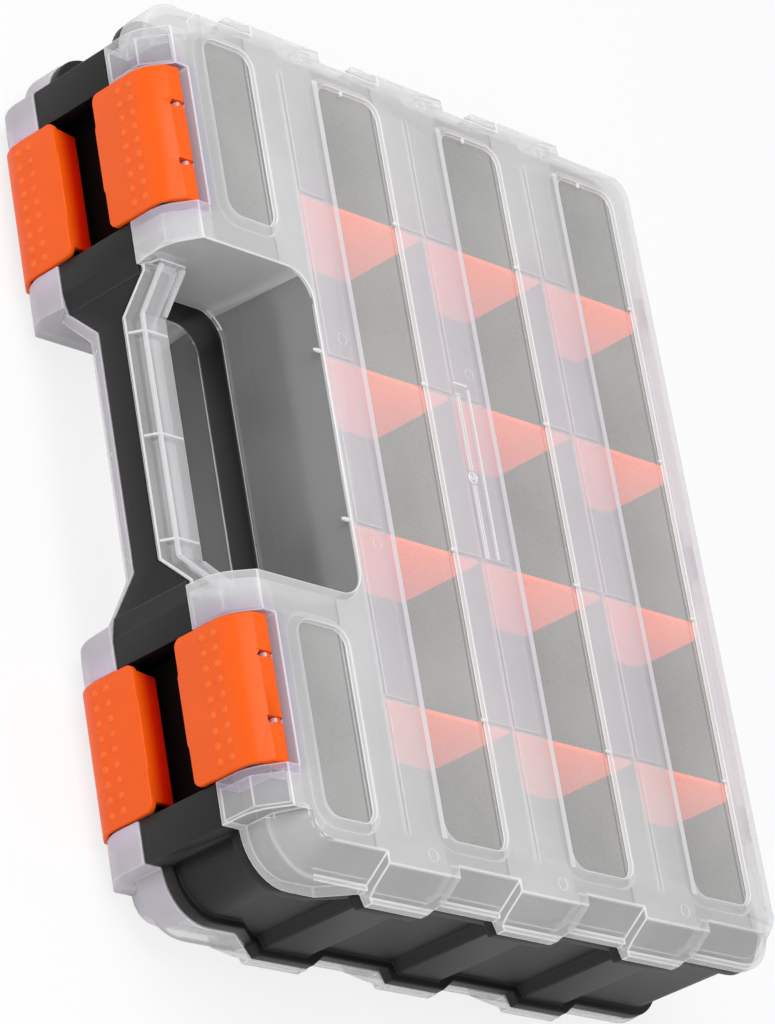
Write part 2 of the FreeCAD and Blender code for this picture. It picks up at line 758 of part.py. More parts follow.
def windows(name, margin, low, high):
    """The five windows of a lid as upright prisms, widened by a margin."""
    panes = []
    for column in COLUMNS:
        x = (f"{WINDOW_X[0]} - {margin}", f"{WINDOW_X[1]} + {margin}")
        y = (f"{column}_column_y - window_width / 2 - {margin}", f"{column}_column_y + window_width / 2 + {margin}")
        panes.append(pad_rounded(f"{name}_{column}", x, y, f"window_radius + {margin}", low, high))
    x = (f"short_window_x - short_window_length / 2 - {margin}", f"short_window_x + short_window_length / 2 + {margin}")
    centre = "front_wall_y - short_window_y"
    y = (f"{centre} - short_window_width / 2 - {margin}", f"{centre} + short_window_width / 2 + {margin}")
    short = pad_rounded(f"{name}_short", x, y, f"window_radius + {margin}", low, high)
    return panes + both_ends(f"{name}_short", short)


def lid_ribs():
    """Ribs under the strips: one along each column wall, and one over each divider end."""
    z = ("plate_z - lid_rib_height", "plate_z + lid_wall / 2")
    ribs = []
    for column in COLUMNS:
        wall = f"{column}_wall_y"
        ribs.append(box(f"strip_rib_{column}", WINDOW_X, (f"{wall} - lid_rib / 2", f"{wall} + lid_rib / 2"), z))
        reach = "(column_pitch - window_width) / 2"
        front = "0" if column == "front" else reach
        for place, step in enumerate(DIVIDER_SHARES, start=1):
            x = (f"{step} * divider_pitch - lid_rib / 2", f"{step} * divider_pitch + lid_rib / 2")
            ribs.append(box(f"cross_rib_{column}_{place}", x, (f"{wall} - ({front})", f"{wall} + {reach}"), z))
    return ribs


def lid_hinges():
    """Barrels on the rear flange, the room round the tray's barrels, and the pin bores."""
    barrels, rooms, bores = [], [], []
    for place, station in enumerate(HINGE_SHARES, start=1):
        for side, (low, high) in (("right", LID_BARREL_X),
                                  ("left", (f"-({LID_BARREL_X[1]})", f"-({LID_BARREL_X[0]})"))):
            centre = f"{station} * hinge_spacing"
            barrels.append(hinge_rod(f"lid_barrel_{side}_{place}", station, (low, high), "barrel_radius"))
            barrels.append(box(f"lid_web_{side}_{place}", (f"{centre} + {low}", f"{centre} + {high}"),
                               ("rear_y - rim_wall", "hinge_y"), ("rim_z + seat_gap", "flange_z")))
            bores.append(hinge_rod(f"lid_bore_{side}_{place}", station, (low, high), "pin_radius + pin_clear"))
        room_x = ("-(tray_barrel_half + barrel_side_gap)", "tray_barrel_half + barrel_side_gap")
        rooms.append(hinge_rod(f"lid_room_{place}", station, room_x, "barrel_radius + barrel_clear"))
    return barrels, rooms, bores


def make_lid():
    barrels, rooms, bores = lid_hinges()
    well = recess("recess_well", "0", "handle_z")
    well_wall = recess("recess_wall", "lid_wall", "handle_z + seat_gap")
    front_limit = prism("recess_limit", "YZ", [
        *front_profile("0", "handle_z")[:3],
        ("front_wall_y", "height"),
        ("front_wall_y", "handle_z"),
    ], "-(handle_wall_x)", "handle_wall_x")
    recess_shell = common("recess_shell", cut("recess_sleeve", well_wall, [well]), front_limit)
    bar_room = prism("handle_bar_room", "XZ", [
        *grip_line("seat_gap"),
        ("recess_half + lid_wall", "0"),
        ("-recess_half - lid_wall", "0"),
    ], FRONT_Y, "grip_rear_y + seat_gap")
    open_shell = cut("lid_shell", lid_outer(), [well, cut("lid_hollow", lid_inner(), [well_wall])])
    panes = windows("pane", "window_frame", "pane_z", "plate_z + lid_wall / 2")
    shell = cut("lid_walls", fuse("lid_walls_whole", [
        open_shell,
        recess_shell,
        *both_ends("housing", latch_housing()),
        *panes,
        *lid_ribs(),
    ]), [
        bar_room,
        *both_ends("lid_latch_pocket", latch_pocket()),
        *windows("window", "0", "height - window_recess", "height + overrun"),
        *rooms,
    ])
    return cut("upper_lid", fuse("lid_filled", [
        shell,
        *handle_cover(),
        *both_ends("pivot_ribs", pivot_ribs()),
        *barrels,
    ]), bores)


# Latches, dividers and pins

def make_latch():
    """Upper latch at the +X end: face plate, sloping flange, pivot knuckles and inner return."""
    slope_z = "pivot_z - knuckle_radius"
    inner_bend_z = f"latch_bend_z - {BEND_SHARE} * latch_plate"
    profile = [
        ("latch_front_y", "latch_free_z"),
        ("latch_front_y", "latch_bend_z"),
        ("pivot_y - latch_shoulder_run", "pivot_z + latch_shoulder_rise"),
        ("pivot_y", "pivot_z + knuckle_radius"),
        ("pivot_y", slope_z),
        (f"latch_inner_y + {slope_z} - ({inner_bend_z})", slope_z),
        ("latch_inner_y", inner_bend_z),
        ("latch_inner_y", "latch_free_z"),
    ]
    hook = box("latch_hook", (f"{LATCH_X[0]} + latch_return_inset", f"{LATCH_X[1]} - latch_return_inset"),
               ("latch_front_y", "latch_front_y + latch_return"), ("latch_free_z", "latch_free_z + latch_plate"))
    plate = fuse("latch_plate_solid", [prism("latch_profile", "YZ", profile, *LATCH_X), hook,
                                       pivot_rod("latch_knuckle", LATCH_X, "knuckle_radius")])
    slots = [box(f"latch_slot_{name}", slot_x(side, "latch_slot"),
                 ("pivot_y - latch_slot_depth", "pivot_y + overrun"), ("pivot_z - overrun", "pivot_z + overrun"))
             for name, side in zip(("inner", "outer"), SLOT_SHARES)]
    return fuse("latch_upper_right", [cut("latch_slotted", plate, slots),
                                      pivot_rod("latch_pivot", LATCH_X, "pivot_radius")])


def make_divider(column, place, step):
    """Upright plate in its grooves; in the rear column its top corner clears the lid's skirt."""
    low, high = column_y(column, "(divider_groove - divider_clear)")
    top_corner = [(high, "wall_top_z")]
    if column == "rear":
        top_corner = [(high, "wall_top_z - divider_corner_drop"), (f"{high} - divider_corner_run", "wall_top_z")]
    points = [(low, "floor_z"), (high, "floor_z"), *top_corner, (low, "wall_top_z")]
    return prism(f"upper_divider_{column}_{place}", "YZ", points, *divider_x(step, "0"))


def make_pins():
    reach = LID_BARREL_X[1]
    return fuse("upper_hinge_pins", [hinge_rod(f"pin_{place}", station, (f"-({reach})", reach), "pin_radius")
                                     for place, station in enumerate(HINGE_SHARES, start=1)])


def lower_name(name):
    return name.replace("upper", "lower")


latch = make_latch()
uppers = [make_lid(), latch, mirror("latch_upper_left", latch, "x"), make_pins()]
for column in COLUMNS:
    for place, step in enumerate(DIVIDER_SHARES, start=1):
        uppers.append(make_divider(column, place, step))
walls = column_prisms()
grooves = divider_grooves()
pieces = [make_tray(grooves), cut("column_walls", fuse("column_prisms", walls), grooves), make_floors(walls)]
for piece in uppers:
    pieces += [piece, mirror(lower_name(piece.Name), piece, "z")]
for piece in pieces:
    piece.Label = piece.Name
    if "Refine" in piece.PropertiesList:
        piece.Refine = True
doc.recompute()

for item in doc.Objects:
    if {"Invalid", "Error"} & set(item.State):
        raise RuntimeError(f"{item.Label} could not be built: {item.State}")
for piece in pieces:
    if piece.Shape.isNull() or not piece.Shape.isValid():
        raise RuntimeError(f"{piece.Label} has no valid shape")

os.makedirs("parts", exist_ok=True)
for piece in pieces:
    piece.Shape.exportStep(f"parts/{piece.Label}.step")
    box_size = piece.Shape.BoundBox
    print(piece.Label, len(piece.Shape.Solids), "solids", round(piece.Shape.Volume / 1000, 2), "cm3",
          [round(size, 2) for size in (box_size.XMin, box_size.XMax, box_size.YMin, box_size.YMax,
                                       box_size.ZMin, box_size.ZMax)])
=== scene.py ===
import math

import bmesh
import bpy
from mathutils import Matrix, Vector


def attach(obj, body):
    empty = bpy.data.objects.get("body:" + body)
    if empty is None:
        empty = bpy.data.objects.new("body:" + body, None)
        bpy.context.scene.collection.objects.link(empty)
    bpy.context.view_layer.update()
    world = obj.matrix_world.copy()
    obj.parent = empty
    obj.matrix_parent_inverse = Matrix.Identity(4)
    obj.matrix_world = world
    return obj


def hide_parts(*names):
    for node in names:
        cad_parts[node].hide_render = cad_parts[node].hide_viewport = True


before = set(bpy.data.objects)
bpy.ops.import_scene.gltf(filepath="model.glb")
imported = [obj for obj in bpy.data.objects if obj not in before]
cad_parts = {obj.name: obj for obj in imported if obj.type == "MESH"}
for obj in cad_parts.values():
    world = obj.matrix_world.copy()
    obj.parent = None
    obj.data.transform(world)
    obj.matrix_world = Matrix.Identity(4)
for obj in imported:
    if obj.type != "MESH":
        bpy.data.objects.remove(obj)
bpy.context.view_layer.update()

bl_info = {
    "name": "Double-sided storage box",
    "version": (1, 0, 0),
    "blender": (4, 5, 0),
    "location": "3D View > Sidebar > Storage Box",
    "description": "Dresses the storage box: moulded tray, frosted lids, latches, dividers and its stage",
    "category": "Object",
}

MM = 0.001
TOUCH = 0.05 * MM  # how near a point has to be to lie on a line of the solids
PLASTIC_IOR = 1.49
FACES = ("upper", "lower")
SIDES = ("left", "right")
COLUMNS = ("front", "middle", "rear")

# Places on the upper side of the box, as the solids have them
HEIGHT = 80 * MM
MID_Z = HEIGHT / 2
LATCH_X = 98 * MM
LATCH_HALF = 25 * MM
LATCH_FACE_Y = -130.5 * MM
LATCH_REAR_Y = -118 * MM
LATCH_BEND_Z = 72 * MM
FREE_EDGE_Y, FREE_EDGE_Z = -127.9 * MM, 49.6 * MM  # a latch's free edge lies in front of and below these
POCKET_Y = -129 * MM  # front of the pockets behind the latches
BROW_Y, BROW_Z = -129.5 * MM, 71 * MM  # edge between the front and the slope of a latch block
BLOCK_END, BLOCK_Y = 139 * MM, -113 * MM  # outer ends and rear of the latch blocks
COVER_HALF, COVER_Y = 57 * MM, -112.5 * MM  # half length and rear of the handle cover
RIDGE_Y, RIDGE_Z = -123.7 * MM, 51.5 * MM  # ridge of the handle cover
RECESS_HALF, RECESS_Y = 61 * MM, -66 * MM  # half length and rear of the hand recess
FIRST_COLUMN_Y = -35.3 * MM
COLUMN_PITCH = 62.7 * MM
WINDOW_HALF = 15.1 * MM
WINDOW_END = 137.8 * MM
DIVIDER_PITCH = 61 * MM
DIVIDER_PLACES = [step * DIVIDER_PITCH for step in (-1.5, -0.5, 0.5, 1.5)]

# Kinds of sheet in a lid, in the order of its materials. The lower lid's front block takes a darker, denser sheet as
# painted shade.
FROSTED, CLEAR, EDGE, RECESS, COVER, SKIRT, SHADED_BLOCK, CORNER = range(8)


def linear(code):
    """Linear colour of an sRGB hex code."""
    shares = [int(code[place:place + 2], 16) / 255 for place in (1, 3, 5)]
    return [share / 12.92 if share <= 0.04045 else ((share + 0.055) / 1.055) ** 2.4 for share in shares]


# What a user would change

def length(name, description, default):
    return bpy.props.FloatProperty(name=name, description=description, default=default, unit="LENGTH", precision=5)


def colour(name, description, code):
    return bpy.props.FloatVectorProperty(name=name, description=description, default=linear(code), subtype="COLOR",
                                         min=0, max=1)


class BoxSizes(bpy.types.PropertyGroup):
    tray_round: length("Tray edges", "Rounding of the tray's moulded edges", 0.6 * MM)
    lid_round: length("Lid edges", "Rounding of the lids' moulded edges", 0.4 * MM)
    latch_round: length("Latch edges", "Rounding of the latches' edges", 0.6 * MM)
    latch_corner: length("Latch corners", "Corner radius at the free edge of a latch", 2.8 * MM)
    latch_bend: length("Latch bend", "Rounding of the bend between a latch's face and its slope", 4.5 * MM)
    dot_radius: length("Grip dots", "Radius of the raised dots on a latch", 1.35 * MM)
    dot_pitch: length("Dot pitch", "Distance between the raised dots of a row", 5.2 * MM)
    block_brow: length("Block brow", "Rounding between the front and the slope of a latch block", 5.0 * MM)
    divider_round: length("Divider edges", "Rounding of the dividers' edges", 0.3 * MM)
    glow_width: length("Bright edge", "How far the light caught in a lid's edge spreads", 1.0 * MM)


class BoxColours(bpy.types.PropertyGroup):
    tray: colour("Tray", "Charcoal plastic of the tray", "#0F0F11")
    lid: colour("Lid", "Frosted plastic of the lids", "#F6F6F8")
    lid_edge: colour("Lid edge", "Edges of the lids, where light gathers", "#FBFBFC")
    # Painted light: lilac tint for the orange light the lids scatter beside the latches and above the dividers.
    orange_bounce_tint: colour("Orange bounce tint", "Painted lilac tint for orange light scattered in the lids beside the latches", "#E0D3EA")
    # Painted shade: the lower lid's front is given this darker colour because it lies in shade.
    shade: colour("Shaded lid", "Frosted plastic of the lower lid's front, darkened as painted shade", "#C9C4CC")
    pane: colour("Window", "Clearer plastic of the windows", "#F2F3F1")
    latch: colour("Latch", "Orange plastic of the latches", "#FC6005")
    # Painted highlight: the raised dots are given a lighter orange than the latch.
    dot: colour("Grip dots", "Orange of the raised dots, lightened as a painted highlight", "#FF7022")
    divider: colour("Divider", "Orange plastic of the dividers", "#FF5A16")
    pin: colour("Hinge pin", "Drawn steel wire of the hinge pins", "#B9B9BA")
    floor: colour("Floor", "Pale studio floor", "#F7F7F7")


class BoxStage(bpy.types.PropertyGroup):
    camera_spot: bpy.props.FloatVectorProperty(
        name="Camera", description="Where the camera stands", default=(0.62296, -1.11464, 0.94268), subtype="XYZ",
        unit="LENGTH")
    camera_view: bpy.props.FloatVectorProperty(
        name="View", description="Direction in which the camera looks", default=(-0.40082, 0.71119, -0.57753),
        subtype="DIRECTION")
    camera_up: bpy.props.FloatVectorProperty(
        name="Up", description="Direction that is up in the picture", default=(-0.90273, -0.19909, 0.38136),
        subtype="DIRECTION")
    camera_lens: bpy.props.FloatProperty(name="Lens", description="Focal length for a 36 mm sensor", default=161.81)
    sky: bpy.props.FloatProperty(name="Sky", description="Strength of the even light all round", default=0.47)
    key: bpy.props.FloatProperty(name="Key", description="Power of the large soft lamp overhead", default=13.0,
                                 unit="POWER")
    fill: bpy.props.FloatProperty(name="Fill", description="Power of the soft lamp at the near end", default=2.2,
                                  unit="POWER")


# Materials

def node(tree, kind, links=None, **settings):
    """Add a node, set its properties and sockets, and link its inputs."""
    made = tree.nodes.new(f"ShaderNode{kind}")
    for name, value in settings.items():
        setattr(made, name, value)
    for socket, source in (links or {}).items():
        if isinstance(source, bpy.types.NodeSocket):
            tree.links.new(source, made.inputs[socket])
        else:
            made.inputs[socket].default_value = source
    return made


def start_material(name):
    material = bpy.data.materials.new(name)
    material.use_nodes = True
    tree = material.node_tree
    tree.nodes.clear()
    shader = node(tree, "BsdfPrincipled")
    output = node(tree, "OutputMaterial", {"Surface": shader.outputs["BSDF"]})
    output.is_active_output = True
    place = node(tree, "TexCoord").outputs["Object"]
    return material, tree, shader.inputs, place


def rgba(shades, factor=1.0):
    return [*[shade * factor for shade in shades], 1.0]


def grain(tree, place, size, detail=2.0):
    """Fine noise whose grains have a real size."""
    return node(tree, "TexNoise", {"Vector": place, "Scale": 1 / size, "Detail": detail}).outputs["Fac"]


def spread(tree, source, low, high, start=0.3, end=0.7):
    """Map a value from one range to another. The range it comes from is the middle of a noise unless given."""
    return node(tree, "MapRange", {"Value": source, "From Min": start, "From Max": end, "To Min": low,
                                   "To Max": high}).outputs["Result"]


def blend_colour(tree, factor, first, second):
    mixed = node(tree, "Mix", {0: factor, 6: first, 7: second}, data_type="RGBA")
    return mixed.outputs[2]


def bump(tree, height, strength, distance):
    return node(tree, "Bump", {"Height": height, "Strength": strength, "Distance": distance}).outputs["Normal"]


def edge_share(tree, width):
    """How near a sharp edge a point is: 0 on open faces, 1 at the edge."""
    rounded = node(tree, "Bevel", {"Radius": width}, samples=3).outputs["Normal"]
    plain = node(tree, "NewGeometry").outputs["Normal"]
    match = node(tree, "VectorMath", {0: rounded, 1: plain}, operation="DOT_PRODUCT").outputs["Value"]
    return spread(tree, match, 0.0, 1.0, 0.998, 0.80)


def between(tree, share, first, second):
    """A value that goes from the first to the second as a share goes from 0 to 1."""
    return node(tree, "MapRange", {"Value": share, "To Min": first, "To Max": second}).outputs["Result"]


def maths(tree, operation, first, second=0.0):
    return node(tree, "Math", {0: first, 1: second}, operation=operation).outputs["Value"]


def axis(tree, place, name):
    return node(tree, "SeparateXYZ", {0: place}).outputs[name]


def off_middle(tree, place):
    """How far a point is above or below mid height."""
    return maths(tree, "ABSOLUTE", maths(tree, "SUBTRACT", axis(tree, place, "Z"), MID_Z))


def column_place(tree, place):
    """Depth of a point brought into the first column of compartments, so that one rule serves every column."""
    ends = {1: FIRST_COLUMN_Y - COLUMN_PITCH / 2, 2: FIRST_COLUMN_Y + COLUMN_PITCH / 2}
    return node(tree, "Math", {0: axis(tree, place, "Y"), **ends}, operation="WRAP").outputs["Value"]


def inside(tree, source, centre, half):
    """1 where a value lies within a distance of a centre, else 0."""
    away = maths(tree, "ABSOLUTE", maths(tree, "SUBTRACT", source, centre))
    return maths(tree, "LESS_THAN", away, half)


def depth_share(tree, place, shallow, deep):
    """How deep a point lies behind the front face: 0 at the shallow place, 1 at the deep one."""
    return spread(tree, axis(tree, place, "Y"), 0.0, 1.0, shallow, deep)


def charcoal_polypropylene(colours, name, pocket):
    # Moulded in a spark-eroded tool: a fine even grain that breaks up the highlights, with worn paler edges.
    # The real grain of about 0.15 mm is too fine to show, so it is drawn at 0.5 mm.
    # The latch pockets, which no wear reaches, get painted shade: they are made dull and turn black towards their
    # backs.
    material, tree, inputs, place = start_material(name)
    cloud = grain(tree, place, 30 * MM)
    fine = grain(tree, place, 0.5 * MM)
    tray = colours.tray
    tone = blend_colour(tree, spread(tree, cloud, 0.0, 1.0), rgba(tray, 0.9), rgba(tray, 1.12))
    worn = maths(tree, "MULTIPLY", edge_share(tree, 0.6 * MM), 0.35)
    shade = blend_colour(tree, worn, tone, rgba(linear("#4A4A4D")))
    if pocket:
        # Painted shade: black towards the back of a pocket, where little light reaches.
        depth = depth_share(tree, place, POCKET_Y, POCKET_Y + 6 * MM)
        shade = blend_colour(tree, depth, tone, rgba(linear("#040404")))
    tree.links.new(shade, inputs["Base Color"])
    inputs["IOR"].default_value = PLASTIC_IOR
    inputs["Specular IOR Level"].default_value = 0.06 if pocket else 0.4
    tree.links.new(spread(tree, fine, 0.42, 0.58), inputs["Roughness"])
    tree.links.new(bump(tree, fine, 0.12, 0.1 * MM), inputs["Normal"])
    return material


def latch_bounce_share(tree, place):
    """How near a point of a lid is to one of its latches, for the painted orange bounce light: 1 beside it, 0 from the
    end of its reach.
    """
    reach = 9 * MM
    along = maths(tree, "SUBTRACT", maths(tree, "ABSOLUTE", axis(tree, place, "X")), LATCH_X)
    gap = maths(tree, "MAXIMUM", maths(tree, "SUBTRACT", maths(tree, "ABSOLUTE", along), LATCH_HALF))
    behind = maths(tree, "MAXIMUM", maths(tree, "SUBTRACT", axis(tree, place, "Y"), LATCH_REAR_Y))
    return spread(tree, maths(tree, "ADD", gap, behind), 1.0, 0.0, 0.0, reach)


def window_veil(tree, place, body):
    """Veil of a window's sheet: denser in the margin it is welded to, thinner in the line along its rear edge."""
    half, margin_veil, line_veil = 0.5 * MM, 0.5, 0.06
    column = column_place(tree, place)
    margin = maths(tree, "SUBTRACT", 1.0, inside(tree, column, FIRST_COLUMN_Y, WINDOW_HALF))
    line = inside(tree, column, FIRST_COLUMN_Y + WINDOW_HALF - half, half)
    return between(tree, line, between(tree, margin, body, margin_veil), line_veil)


def border_veil(tree, place, body):
    """Veil of a strip: denser in the thick border along the front edge of each long window."""
    half, dense_veil = 1.3 * MM, 0.74
    border = inside(tree, column_place(tree, place), FIRST_COLUMN_Y - WINDOW_HALF - half, half)
    border = maths(tree, "MULTIPLY", border, inside(tree, axis(tree, place, "X"), 0.0, WINDOW_END))
    columns = inside(tree, axis(tree, place, "Y"), FIRST_COLUMN_Y + COLUMN_PITCH, 1.5 * COLUMN_PITCH)
    return between(tree, maths(tree, "MULTIPLY", border, columns), body, dense_veil)


def rim_veil(tree, place, body):
    """Veil of the recess walls: denser in the thicker upper part below the rim."""
    dense_veil = 0.16
    rim = spread(tree, off_middle(tree, place), 0.0, 1.0, 24 * MM, 28 * MM)
    return between(tree, rim, body, dense_veil)


def frosted_polypropylene(colours, sizes, name, kind, tint, veil, edge_veil, roughness):
    # Unpigmented plastic with a milky body: what lies behind shows through a pale veil,
    # and light that travels inside the sheet leaves at its edges, which look almost white.
    # Beside the latches a lilac tint is painted for the orange light that the milky body scatters, and above the
    # dividers a weaker one.
    material, tree, inputs, place = start_material(name)
    edge = edge_share(tree, sizes.glow_width)
    cloud = grain(tree, place, 45 * MM, 3.0)
    fine = grain(tree, place, 0.7 * MM)
    tone = blend_colour(tree, spread(tree, cloud, 0.0, 1.0), rgba(tint, 0.95), rgba(tint, 1.0))
    along = maths(tree, "ABSOLUTE", axis(tree, place, "X"))
    # Painted light: a lilac tint for the orange light scattered in the sheet above the dividers and beside the latches.
    divider_bounce = spread(tree, along, 0.3 if kind == FROSTED else 0.0, 0.0, 85 * MM, 108 * MM)
    divider_bounce = maths(tree, "MULTIPLY", divider_bounce, depth_share(tree, place, RECESS_Y - 9 * MM, RECESS_Y))
    near_orange = maths(tree, "MAXIMUM", divider_bounce, latch_bounce_share(tree, place))
    tinted = blend_colour(tree, near_orange, tone, rgba(colours.orange_bounce_tint))
    tree.links.new(blend_colour(tree, edge, tinted, rgba(colours.lid_edge)), inputs["Base Color"])
    body = spread(tree, cloud, veil - 0.02, veil + 0.02)
    special = {CLEAR: window_veil, FROSTED: border_veil, RECESS: rim_veil}.get(kind)
    if special:
        body = special(tree, place, body)
    tree.links.new(between(tree, edge, body, edge_veil), inputs["Alpha"])
    inputs["IOR"].default_value = PLASTIC_IOR
    tree.links.new(spread(tree, fine, roughness - 0.06, roughness + 0.06), inputs["Roughness"])
    tree.links.new(bump(tree, fine, 0.03, 0.1 * MM), inputs["Normal"])
    return material


def orange_polypropylene(name, tint, roughness, shaded_hook_half, painted_glow=0.0):
    # Opaque pigmented moulding with a satin skin: an even strong orange and soft highlights.
    # The hooks of the latches, within a distance of mid height, get painted shade: a deep red where they reach into the
    # pocket.
    # The dividers get a painted glow for the light that the frosted box gathers, and a painted rosy shade towards the
    # floor.
    material, tree, inputs, place = start_material(name)
    cloud = grain(tree, place, 12 * MM)
    fine = grain(tree, place, 0.6 * MM)
    tone = blend_colour(tree, spread(tree, cloud, 0.0, 1.0), rgba(tint, 0.95), rgba(tint, 1.0))
    if painted_glow:
        # Painted light: a glow, and a rosy tint towards the floor where less light reaches.
        raised = spread(tree, off_middle(tree, place), 0.0, 1.0, 5 * MM, 30 * MM)
        tone = blend_colour(tree, raised, rgba(linear("#EE4E56")), tone)
        tree.links.new(tone, inputs["Emission Color"])
    # Painted shade: deep red on the hook where it reaches into the dim pocket.
    hook_shade = maths(tree, "MULTIPLY", inside(tree, axis(tree, place, "Z"), MID_Z, shaded_hook_half),
                 depth_share(tree, place, POCKET_Y, POCKET_Y + 5 * MM))
    tree.links.new(blend_colour(tree, hook_shade, tone, rgba(linear("#F42400"))), inputs["Base Color"])
    inputs["Specular IOR Level"].default_value = 0.3
    tree.links.new(spread(tree, fine, roughness - 0.05, roughness + 0.05), inputs["Roughness"])
    tree.links.new(bump(tree, fine, 0.05, 0.1 * MM), inputs["Normal"])
    inputs["IOR"].default_value = PLASTIC_IOR
    inputs["Emission Strength"].default_value = painted_glow
    return material


def drawn_steel(colours):
    # Wire drawn through a die: bright, with fine scratches along its length.
    material, tree, inputs, place = start_material("Drawn steel wire")
    stretched = node(tree, "Mapping", {"Vector": place, "Scale": (0.05, 1.0, 1.0)}).outputs["Vector"]
    scratch = grain(tree, stretched, 0.2 * MM)
    inputs["Base Color"].default_value = rgba(colours.pin)
    inputs["Metallic"].default_value = 1.0
    tree.links.new(spread(tree, scratch, 0.22, 0.38), inputs["Roughness"])
    return material


# Meshes

def cad_mesh(name):
    """A copy of a CAD node's mesh with its flat faces joined up."""
    weld, flat = 0.002 * MM, math.radians(0.6)
    bm = bmesh.new()
    bm.from_mesh(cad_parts[name].data)
    bmesh.ops.remove_doubles(bm, verts=bm.verts, dist=weld)
    bmesh.ops.dissolve_limit(bm, angle_limit=flat, verts=bm.verts, edges=bm.edges)
    bm.normal_update()
    return bm


def face_width(face):
    """Mean width of a face across its longest edge."""
    longest = max(edge.calc_length() for edge in face.edges)
    return face.calc_area() / longest


def bevel(bm, edges, width, segments, skin=-1):
    """Round edges. The new faces take a material by its number, or their neighbours' where that is -1."""
    bmesh.ops.bevel(bm, geom=edges, offset=width, offset_type="OFFSET", segments=segments, profile=0.5,
                    affect="EDGES", clamp_overlap=False, loop_slide=True, material=skin)
    bm.normal_update()


def round_edges(bm, width, segments=2, skin=-1):
    """Round the sharp edges that are long enough and whose two faces are wide enough to take it."""
    shortest, narrowest, sharp = 1.5 * width, 1.6 * width, math.radians(32)
    chosen = []
    for edge in bm.edges:
        if len(edge.link_faces) != 2 or edge.calc_length() < shortest:
            continue
        if abs(edge.calc_face_angle(0)) < sharp:
            continue
        if min(face_width(face) for face in edge.link_faces) > narrowest:
            chosen.append(edge)
    bevel(bm, chosen, width, segments, skin)


def round_chosen(bm, test, along, width, segments):
    """Round the edges along an axis whose two ends pass a test."""
    aligned = 0.9
    chosen = []
    for edge in bm.edges:
        first, second = (vert.co for vert in edge.verts)
        if test(first) and test(second) and abs((second - first).normalized()[along]) > aligned:
            chosen.append(edge)
    if not chosen:
        raise RuntimeError("there are no edges to round")
    bevel(bm, chosen, width, segments)


def add_dome(bm, spot, radius, height, skin):
    """A low dome on a face that looks to the front."""
    shape = Matrix.Translation(spot) @ Matrix.Diagonal((radius, height, radius, 1.0))
    for vert in bmesh.ops.create_icosphere(bm, subdivisions=2, radius=1.0, matrix=shape)["verts"]:
        for face in vert.link_faces:
            face.material_index = skin


def add_bead(bm, spot, halves):
    """A smooth bead with its half sizes along the three axes."""
    shape = Matrix.Translation(spot) @ Matrix.Diagonal((*halves, 1.0))
    bmesh.ops.create_icosphere(bm, subdivisions=2, radius=1.0, matrix=shape)


def add_ring(bm, spot, radius, wire, steps=24):
    """A raised ring of fine round wire lying flat."""
    loops = []
    for step in range(steps):
        turn = 2 * math.pi * step / steps
        out = Vector((math.cos(turn), math.sin(turn), 0))
        loops.append([bm.verts.new(Vector(spot) + out * (radius + wire * math.cos(lift))
                                   + Vector((0, 0, wire * math.sin(lift))))
                      for lift in (0, math.pi / 2, math.pi, 3 * math.pi / 2)])
    for here, there in zip(loops, loops[1:] + loops[:1]):
        for side in range(4):
            after = (side + 1) % 4
            bm.faces.new((here[side], there[side], there[after], here[after]))


def add_bar(bm, start, end, half):
    """A fine square bar between two points."""
    start, end = Vector(start), Vector(end)
    turn = (end - start).to_track_quat("X", "Z").to_matrix().to_4x4()
    size = Matrix.Diagonal(((end - start).length, 2 * half, 2 * half, 1.0))
    bmesh.ops.create_cube(bm, size=1.0, matrix=Matrix.Translation((start + end) / 2) @ turn @ size)


def close_prism(bm, rings):
    """Faces of a prism between two rings of corners."""
    low, high = rings
    faces = []
    for side in range(len(low)):
        after = (side + 1) % len(low)
        faces.append(bm.faces.new((low[side], low[after], high[after], high[side])))
    faces += [bm.faces.new(ring) for ring in rings]
    bmesh.ops.recalc_face_normals(bm, faces=faces)
    bm.normal_update()


def add_piece(bm, name, body, materials, stands_for=()):
    """Make a smooth-shaded piece that rides a body, and hide the CAD nodes that it stands for."""
    sharp = math.radians(34)
    mesh = bpy.data.meshes.new(name)
    bm.to_mesh(mesh)
    bm.free()
    for material in materials:
        mesh.materials.append(material)
    for polygon in mesh.polygons:
        polygon.use_smooth = True
    mesh.set_sharp_from_angle(angle=sharp)
    piece = bpy.data.objects.new(name, mesh)
    bpy.context.scene.collection.objects.link(piece)
    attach(piece, body)
    if stands_for:
        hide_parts(*stands_for)


def mirrored_z(z, face):
    """Height of a point of the lower side as it would be on the upper side, and the other way round."""
    return z if face == "upper" else HEIGHT - z


# Pieces

